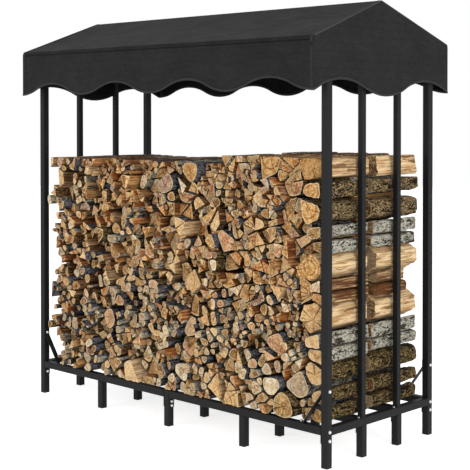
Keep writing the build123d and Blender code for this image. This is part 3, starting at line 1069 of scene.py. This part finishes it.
# Rows of a hanging panel from its scalloped bottom up to the seam, closer under the seam
def hangingHeights(bottom, top):
    fixed = [top - step for step in reversed(edgeSteps[1:])]
    count = cover["valanceRows"] - len(fixed)
    return [bottom + (fixed[0] - bottom) * row / count for row in range(count)] + fixed


def softWave(place, lengths, phase):
    waves = enumerate(lengths, 1)
    return sum(math.sin(math.tau * place / length + phase * n) / n for n, length in waves)


# How far the cloth stands off its true shape, by where it is
def slopeStandOff(x, share):
    ends = 1 - (abs(x) / cover["halfX"]) ** 8
    sag = -cover["slopeSag"] * math.sin(math.pi * share) ** 0.8 * ends
    wander = 0.0011 * noise.noise(Vector((x * 5.5, share * 3.1, 4.2))) * math.sin(math.pi * share)
    return sag + wander


def valanceStandOff(x, drop, phase, below):
    inward = cover["halfX"] - abs(x)
    ends = min(1.0, inward / 0.09)
    crease = swell(below, -0.0022, 0.004, 0.004) + swell(below, 0.0016, 0.016, 0.009)
    corner = swell(inward, 0.0016, 0.016, 0.008) + swell(inward, -0.0018, 0.034, 0.012)
    ripple = softWave(x, (0.4707, 0.231, 0.127), phase)
    fold = noise.noise(Vector((x * 9, drop * 1.4, phase)))
    return crease + corner + cover["rippleDepth"] * drop**1.2 * ends * (0.45 * ripple + 0.5 * fold)


def gableStandOff(y, z, side):
    corner = math.hypot(cover["halfY"] - abs(y), z - cover["eave"] + 0.01)
    pull = math.exp(-corner / 0.11) * math.sin(math.tau * (abs(y) * 0.55 + z * 0.8) / 0.034 + side)
    drop = max(0.0, min(1.0, (cover["eave"] - z) / 0.19))
    edges = min(1.0, (cover["halfY"] - abs(y)) / 0.06)
    ripple = softWave(y, (0.566, 0.19, 0.113), 1.3 + side)
    slack = 0.4 * noise.noise(Vector((y * 7, z * 7, side * 3.1)))
    hanging = cover["rippleDepth"] * drop**1.2 * 0.45 * ripple
    return edges * (cover["wrinkleDepth"] * (0.5 * pull + slack) + hanging)


# Rounds the seam between a roof or valance face and an end face
def roundedSeam(edgePoint, faceOut, endOut, distance, onEnd):
    radius = cover["edgeRadius"]
    centre = edgePoint - radius * (faceOut + endOut)
    turn = math.pi / 4 * (1 + distance / radius if onEnd else 1 - distance / radius)
    return centre + radius * (faceOut * math.cos(turn) + endOut * math.sin(turn))


coverLine = roofLine()
seamHeight = coverLine[0][1]
cornerBottom = (scallop(cover["halfX"], cover["longWave"]) + scallop(cover["halfY"], cover["endWave"])) / 2


# Columns of the sheet from the left end to the right: what each keeps to, and how far from it
def sheetColumns():
    count = round(2 * (cover["halfX"] - edgeSteps[-1]) / cover["spacing"])
    columns = [("left", step) for step in edgeSteps]
    columns += [("middle", -1 + 2 * n / count) for n in range(1, count)]
    return columns + [("right", step) for step in reversed(edgeSteps)]


def columnX(column, z):
    where, value = column
    if where == "middle":
        return value * (endX(z) - edgeSteps[-1])
    return value - endX(z) if where == "left" else endX(z) - value


# A point of the roof or of a long valance
def sheetPoint(column, rowKind, row):
    where, value = column
    if rowKind == "roof":
        y, z, angle = coverLine[row]
        faceOut = Vector((0, math.cos(angle), math.sin(angle)))
        x = columnX(column, z)
        last = len(coverLine) - 1
        fromBend = min(row, last - row) - cover["eaveSteps"]
        share = fromBend / (last / 2 - cover["eaveSteps"] - cover["ridgeSteps"])
        off = slopeStandOff(x, min(1.0, max(0.0, share)))
    else:
        side = -1 if rowKind == "front" else 1
        x = columnX(column, seamHeight)
        bottom = cornerBottom if where != "middle" and value == 0 else scallop(x, cover["longWave"])
        z = hangingHeights(bottom, seamHeight)[row]
        y = side * cover["halfY"]
        faceOut = Vector((0, side, 0))
        drop = (seamHeight - z) / (seamHeight - bottom)
        off = valanceStandOff(x, drop, 0.7 if side < 0 else 2.9, seamHeight - z)
    if where != "middle" and value < cover["edgeRadius"]:
        endOut = Vector((-1 if where == "left" else 1, 0, 0))
        edgePoint = Vector((columnX((where, 0.0), z), y, z))
        return roundedSeam(edgePoint, faceOut, endOut, value, False)
    return Vector((x, y, z)) + faceOut * off


# The seam nearest to a place on an end panel: how far it is, where, and which way the face beyond it looks
def nearestSeam(y, z):
    away = cover["halfY"] - abs(y)
    edge = (math.copysign(cover["halfY"], y), z, Vector((0, math.copysign(1, y), 0)))
    if z > seamHeight - 0.03:
        for lineY, lineZ, angle in coverLine:
            distance = math.hypot(lineY - y, lineZ - z)
            if distance < away:
                away = distance
                edge = (lineY, lineZ, Vector((0, math.cos(angle), math.sin(angle))))
    return away, edge


def gablePoint(y, z, side):
    away, (edgeY, edgeZ, faceOut) = nearestSeam(y, z)
    if away < cover["edgeRadius"]:
        edgePoint = Vector((side * endX(edgeZ), edgeY, edgeZ))
        return roundedSeam(edgePoint, faceOut, Vector((side, 0, 0)), away, True)
    place = Vector((side * endX(z), y, z))
    place.x += side * gableStandOff(y, z, side) * min(1.0, (away - cover["edgeRadius"]) / 0.02)
    return place


# An end panel hangs from the roof's line and shares its edge, so that the cover is one sewn sheet
def addGable(side, grid, points, faces, clothPlaces):
    rowCount = cover["valanceRows"]
    last = -1 if side > 0 else 0
    columns = []
    for number, (y, topZ, _) in enumerate(coverLine):
        topIndex = grid[rowCount + number][last]
        if number in (0, len(coverLine) - 1):
            own = grid[:rowCount] if number == 0 else grid[-rowCount:][::-1]
            columns.append([gridRow[last] for gridRow in own] + [topIndex])
            continue
        heights = hangingHeights(scallop(y, cover["endWave"]), topZ)
        columns.append([len(points) + n for n in range(rowCount)] + [topIndex])
        points += [gablePoint(y, z, side) for z in heights]
        clothPlaces += [(y, z, 1.0) for z in heights]
    for before, after in zip(columns[:-1], columns[1:]):
        for n in range(rowCount):
            quad = (before[n], after[n], after[n + 1], before[n + 1])
            faces.append(quad if side > 0 else quad[::-1])
    return [(column[0], Vector((side, 0, 0))) for column in columns[1:-1]]


def makeCover():
    rowCount = cover["valanceRows"]
    columns = sheetColumns()
    rows = [("front", n) for n in range(rowCount)] + [("roof", n) for n in range(len(coverLine))]
    rows += [("rear", n) for n in range(rowCount - 1, -1, -1)]
    points, faces, clothPlaces, grid = [], [], [], []
    for rowKind, row in rows:
        grid.append([len(points) + n for n in range(len(columns))])
        points += [sheetPoint(column, rowKind, row) for column in columns]
    # Girth along the cloth for each row, so that the weave keeps its size
    middle = len(columns) // 2
    girth = [0.0]
    for above, below in zip(grid[1:], grid[:-1]):
        girth.append(girth[-1] + (points[above[middle]] - points[below[middle]]).length)
    for gridRow, along in zip(grid, girth):
        below = girth[rowCount] - min(along, girth[-1] - along)
        clothPlaces += [(points[index].x, along, below) for index in gridRow]
    for below, above in zip(grid[:-1], grid[1:]):
        for n in range(len(columns) - 1):
            faces.append((below[n], below[n + 1], above[n + 1], above[n]))
    rightLoop = addGable(1, grid, points, faces, clothPlaces)
    leftLoop = addGable(-1, grid, points, faces, clothPlaces)
    hemLoop = [(index, Vector((0, -1, 0))) for index in grid[0]] + rightLoop
    hemLoop += [(index, Vector((0, 1, 0))) for index in grid[-1][::-1]] + leftLoop[::-1]
    piece = addPiece("coverCloth", points, faces, [clothMaterial, liningMaterial])
    storeValues(piece, "cloth", clothPlaces)
    area = sum(polygon.area for polygon in piece.data.polygons)
    solid = piece.modifiers.new("clothThickness", "SOLIDIFY")
    solid.thickness = cover["thickness"]
    solid.offset = -1
    solid.material_offset = 1  # the inside is a darker lining
    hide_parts("cover_roof_sheet", "cover_left_end", "cover_right_end")
    return piece, points, hemLoop, grid, area


coverPiece, coverPoints, hemLoop, coverGrid, coverArea = makeCover()

# Binding folded over the scalloped edge, and the stitched seam along each gable
trim = {
    "hemWidth": 0.008,
    "hemThickness": 0.0011,
    "hemDrop": 0.0014,
    "seamWidth": 0.010,
    "seamInset": 0.008,
    "seamThickness": 0.0012,
    "seamTuck": (0.001, 0.0004),
    "pipingRadius": 0.0028,
    "pipingInset": 0.0022,
    "pipingCorners": 8,
    "pipingEnds": 4,
    "stitchLength": 0.0048,
    "stitchGap": 0.0042,
    "stitchWidth": 0.0011,
    "stitchHeight": 0.0008,
    "stitchInset": 0.002,
}


def makeHem():
    points, faces, places = [], [], []
    thick, width, cloth = trim["hemThickness"], trim["hemWidth"], cover["thickness"]
    profile = (
        (thick, width),
        (thick * 1.25, width * 0.55),
        (thick, 0.0),
        (0.0, -trim["hemDrop"]),
        (-thick - cloth, 0.0),
        (-thick * 1.25 - cloth, width * 0.55),
        (-thick - cloth, width),
        (-cloth * 0.5, width + 0.0004),
    )
    travelled = 0.0
    count = len(hemLoop)
    for number, (index, out) in enumerate(hemLoop):
        before, after = hemLoop[number - 1], hemLoop[(number + 1) % count]
        outward = (out * 2 + before[1] + after[1]).normalized()
        base = coverPoints[index]
        travelled += (base - coverPoints[before[0]]).length
        for off, up in profile:
            points.append(base + outward * off + Vector((0, 0, up)))
            places.append((travelled, up + off, 0.0))
    skinRings(faces, 0, len(profile), count, closed=True)
    piece = addPiece("coverHem", points, faces, [hemHighlightMaterial], 50)
    storeValues(piece, "cloth", places)
    return piece


# Where a gable's seam runs, from the front over the ridge to the rear, and which way the face there looks
def seamPath(side):
    rowCount = cover["valanceRows"]
    path = []
    for number, gridRow in enumerate(coverGrid):
        if rowCount <= number < len(coverGrid) - rowCount:
            y, z, angle = coverLine[number - rowCount]
            out = Vector((0, math.cos(angle), math.sin(angle)))
        else:
            out = Vector((0, -1 if number < rowCount else 1, 0))
            y, z = out.y * cover["halfY"], coverPoints[gridRow[-4 if side > 0 else 3]].z
        path.append((Vector((side * endX(z), y, z)), out))
    return path


# A corded edge along a gable's two rakes
def addPiping(points, faces, places, path, side):
    corners = trim["pipingCorners"]
    first = len(points)
    endOut = Vector((side, 0, 0))
    for place, out in path:
        middle = place - (out + endOut) * trim["pipingInset"]
        for corner in range(corners):
            angle = math.tau * corner / corners
            points.append(middle + (out * math.cos(angle) + endOut * math.sin(angle)) * trim["pipingRadius"])
            places.append((place.y, corner * 0.002, 1.0))
    skinRings(faces, first, corners, len(path), flip=side > 0)


# The flat seam on the cloth beside the piping
def addSeamBand(points, faces, places, path, side):
    inset, width, thick = trim["seamInset"], trim["seamWidth"], trim["seamThickness"]
    tuck, sink = trim["seamTuck"]
    profile = ((inset - tuck, -sink), (inset, thick), (inset + width, thick), (inset + width + tuck, -sink))
    first = len(points)
    travelled = 0.0
    for number, (place, out) in enumerate(path):
        travelled += (place - path[number - 1][0]).length if number else 0.0
        for away, lift in profile:
            points.append(place - Vector((side * away, 0, 0)) + out * lift)
            places.append((away, travelled, 0.0))
    skinRings(faces, first, len(profile), len(path), flip=side > 0)


# Two rows of stitches, each a small raised bar
def addStitches(points, faces, path, side):
    inset, width, lift = trim["seamInset"], trim["seamWidth"], trim["seamThickness"]
    insets = (inset + trim["stitchInset"], inset + width - trim["stitchInset"])
    barPoints = ((-1, -1, 0), (1, -1, 0), (1, 1, 0), (-1, 1, 0), (-0.6, 0, 1), (0.6, 0, 1))
    barFaces = ((0, 1, 5, 4), (3, 4, 5, 2), (0, 4, 3), (1, 2, 5), (0, 3, 2, 1))
    across = Vector((1, 0, 0)) * (trim["stitchWidth"] / 2)
    walked, target = 0.0, 0.003
    for (fromPlace, fromOut), (toPlace, toOut) in zip(path[:-1], path[1:]):
        stretch = (toPlace - fromPlace).length
        along = (toPlace - fromPlace).normalized() * (trim["stitchLength"] / 2)
        while target < walked + stretch:
            share = (target - walked) / max(stretch, 1e-6)
            out = fromOut.lerp(toOut, share).normalized()
            for away in insets:
                middle = fromPlace.lerp(toPlace, share) - Vector((side * away, 0, 0)) + out * lift
                base = len(points)
                for a, b, c in barPoints:
                    points.append(middle + along * a + across * b + out * (c * trim["stitchHeight"] - 0.0002))
                faces += [tuple(base + n for n in face) for face in barFaces]
            target += trim["stitchLength"] + trim["stitchGap"]
        walked += stretch


def makeSeams():
    points, faces, places = [], [], []
    stitchPoints, stitchFaces = [], []
    pipingEnd = cover["valanceRows"] + trim["pipingEnds"]
    for side in (1, -1):
        path = seamPath(side)
        addPiping(points, faces, places, path[pipingEnd:-pipingEnd], side)
        addSeamBand(points, faces, places, path, side)
        addStitches(stitchPoints, stitchFaces, path, side)
    seams = addPiece("coverSeams", points, faces, [hemHighlightMaterial], 50)
    storeValues(seams, "cloth", places)
    stitches = addPiece("coverStitches", stitchPoints, stitchFaces, [threadMaterial], 30)
    return seams, stitches


hemPiece = makeHem()
seamPiece, stitchPiece = makeSeams()
print("cover sewn:", round(coverArea, 3), "square metres of cloth")

# Zinc bolts. Heads stand on the faces that the photograph shows them on
bolts = {
    "headAcross": 0.0105,
    "headHeight": 0.0042,
    "nutAcross": 0.0104,
    "nutHeight": 0.005,
    "washer": 0.0068,
    "washerHeight": 0.0011,
    "washerSink": 0.0004,
    "washerBevel": 0.0006,
    "corners": 18,
    "dome": ((0.56, 0.0), (0.56, 0.72), (0.46, 0.92), (0.25, 1.0)),
    "postFaceX": 0.929,
    "railY": 0.344,
    "postHeights": (0.144, 0.109, 0.304),
    "innerFaceX": 0.894,
    "middleLegX": 0.019,
    "middleHeights": (0.1126, 0.094),
    "edgeInset": 0.016,
    "strapTop": 0.003,
    "postGap": 0.0075,
}


# A washer and a domed head or nut, turned about the way out of a face. The dome is in shares of its size
def boltShape(points, faces, place, out, across, height):
    washer, top = bolts["washer"], bolts["washerHeight"]
    rings = [(washer, -bolts["washerSink"]), (washer, top * 0.7), (washer - bolts["washerBevel"], top)]
    rings += [(across * wide, top + height * up) for wide, up in bolts["dome"]]
    sideways = out.orthogonal().normalized()
    other = out.cross(sideways)
    first = len(points)
    for radius, up in rings:
        for n in range(bolts["corners"]):
            angle = math.tau * n / bolts["corners"]
            points.append(place + out * up + (sideways * math.cos(angle) + other * math.sin(angle)) * radius)
    skinRings(faces, first, bolts["corners"], len(rings))


def makeBolts():
    points, faces = [], []
    head = (bolts["headAcross"], bolts["headHeight"])
    nut = (bolts["nutAcross"], bolts["nutHeight"])
    upward = Vector((0, 0, 1))
    for row, y in (("front", -bolts["railY"]), ("rear", bolts["railY"])):
        for end, sideX in (("left", -1), ("right", 1)):
            outward = Vector((sideX, 0, 0))
            for height in bolts["postHeights"]:
                boltShape(points, faces, Vector((sideX * bolts["postFaceX"], y, height)), outward, *head)
            for height in bolts["postHeights"][1:]:
                boltShape(points, faces, Vector((sideX * bolts["innerFaceX"], y, height)), -outward, *nut)
            low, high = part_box(f"{row}_{end}_brace")
            footX = high.x - bolts["edgeInset"] if sideX < 0 else low.x + bolts["edgeInset"]
            boltShape(points, faces, Vector((footX, y, low.z + bolts["strapTop"])), upward, *head)
            low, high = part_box(f"{end}_side_post_{row}")
            x = sideX * (bolts["postFaceX"] - bolts["edgeInset"])
            place = Vector((x, low.y - bolts["postGap"], firewood["railTop"]))
            boltShape(points, faces, place, upward, *head)
        for height in bolts["middleHeights"]:
            boltShape(points, faces, Vector((bolts["middleLegX"], y, height)), Vector((1, 0, 0)), *head)
    addPiece("zincBolts", points, faces, [zincMaterial], 35)
    print("bolts set")


makeBolts()

# Pale studio floor, white to the camera where it is lit
studio = {
    "floorSize": 30,
    "floor": {"name": "paleFloor", "roughness": 0.9, "specular": 0.1},
    "floorColour": (236, 236, 236),
    "floorGlow": 0.78,
    "worldLight": 0.52,
    # Each lamp's place, aim, size and power
    "lamps": {
        "keyLamp": ((6.4, -2.2, 2.6), (0, 0, 0.8), 4.5, 240),
        "fillLamp": ((-1.6, -5.8, 2.2), (0, 0, 0.8), 4.0, 112),
        "topLamp": ((0.5, 0.5, 5.5), (0, 0, 1), 3.0, 4),
    },
}


# 1 for the rays that the camera or a reflection sees, else 0
def seenRays(tree):
    rays = addNode(tree, "ShaderNodeLightPath")
    return mathStep(tree, "MAXIMUM", rays.outputs["Is Camera Ray"], rays.outputs["Is Glossy Ray"])


def makeFloor():
    mesh = bpy.data.meshes.new("floor")
    half = studio["floorSize"] / 2
    corners = [(-half, -half, 0), (half, -half, 0), (half, half, 0), (-half, half, 0)]
    mesh.from_pydata(corners, [], [(0, 1, 2, 3)])
    floor = bpy.data.objects.new("floor", mesh)
    scene.collection.objects.link(floor)
    material, tree, shader = startFinish(studio["floor"])
    shader.inputs["Base Color"].default_value = (*paint(*studio["floorColour"]), 1)
    glowStrength = mathStep(tree, "MULTIPLY", seenRays(tree), studio["floorGlow"])
    glow = addNode(tree, "ShaderNodeEmission", {"Strength": glowStrength, "Color": (1, 1, 1, 1)})
    both = addNode(tree, "ShaderNodeAddShader", {0: shader.outputs[0], 1: glow.outputs[0]})
    tree.links.new(both.outputs[0], tree.nodes["Material Output"].inputs["Surface"])
    mesh.materials.append(material)


def makeWorld():
    world = bpy.data.worlds.new("studioSky")
    scene.world = world
    world.use_nodes = True
    tree = world.node_tree
    settings = {"Value": seenRays(tree), "To Min": studio["worldLight"], "To Max": 1.0}
    strength = addNode(tree, "ShaderNodeMapRange", settings)
    background = tree.nodes["Background"]
    background.inputs["Color"].default_value = (1, 1, 1, 1)
    tree.links.new(strength.outputs["Result"], background.inputs["Strength"])


def addLamp(name, place, aim, size, power):
    light = bpy.data.lights.new(name, "AREA")
    light.shape = "DISK"
    light.size = size
    light.energy = power
    lamp = bpy.data.objects.new(name, light)
    scene.collection.objects.link(lamp)
    lamp.location = place
    lamp.rotation_euler = (Vector(aim) - Vector(place)).to_track_quat("-Z", "Y").to_euler()


makeFloor()
makeWorld()
for lampName, lamp in studio["lamps"].items():
    addLamp(lampName, *lamp)

# The camera stands where the photograph was taken from
view = {
    "place": (3.8268, -3.8844, 1.3893),
    "tilt": 0.0161,
    "turn": 0.7669,
    "lens": 89.27,
    "shift": (-0.001, -0.2142),
}
cameraData = bpy.data.cameras.new("camera")
cameraData.lens = view["lens"]
cameraData.sensor_width = 36
cameraData.shift_x, cameraData.shift_y = view["shift"]
cameraData.clip_end = 100
camera = bpy.data.objects.new("camera", cameraData)
scene.collection.objects.link(camera)
camera.location = view["place"]
camera.rotation_euler = (math.pi / 2 - view["tilt"], 0, view["turn"])
scene.camera = camera
scene.view_settings.view_transform = "Standard"
print("camera and lamps placed")
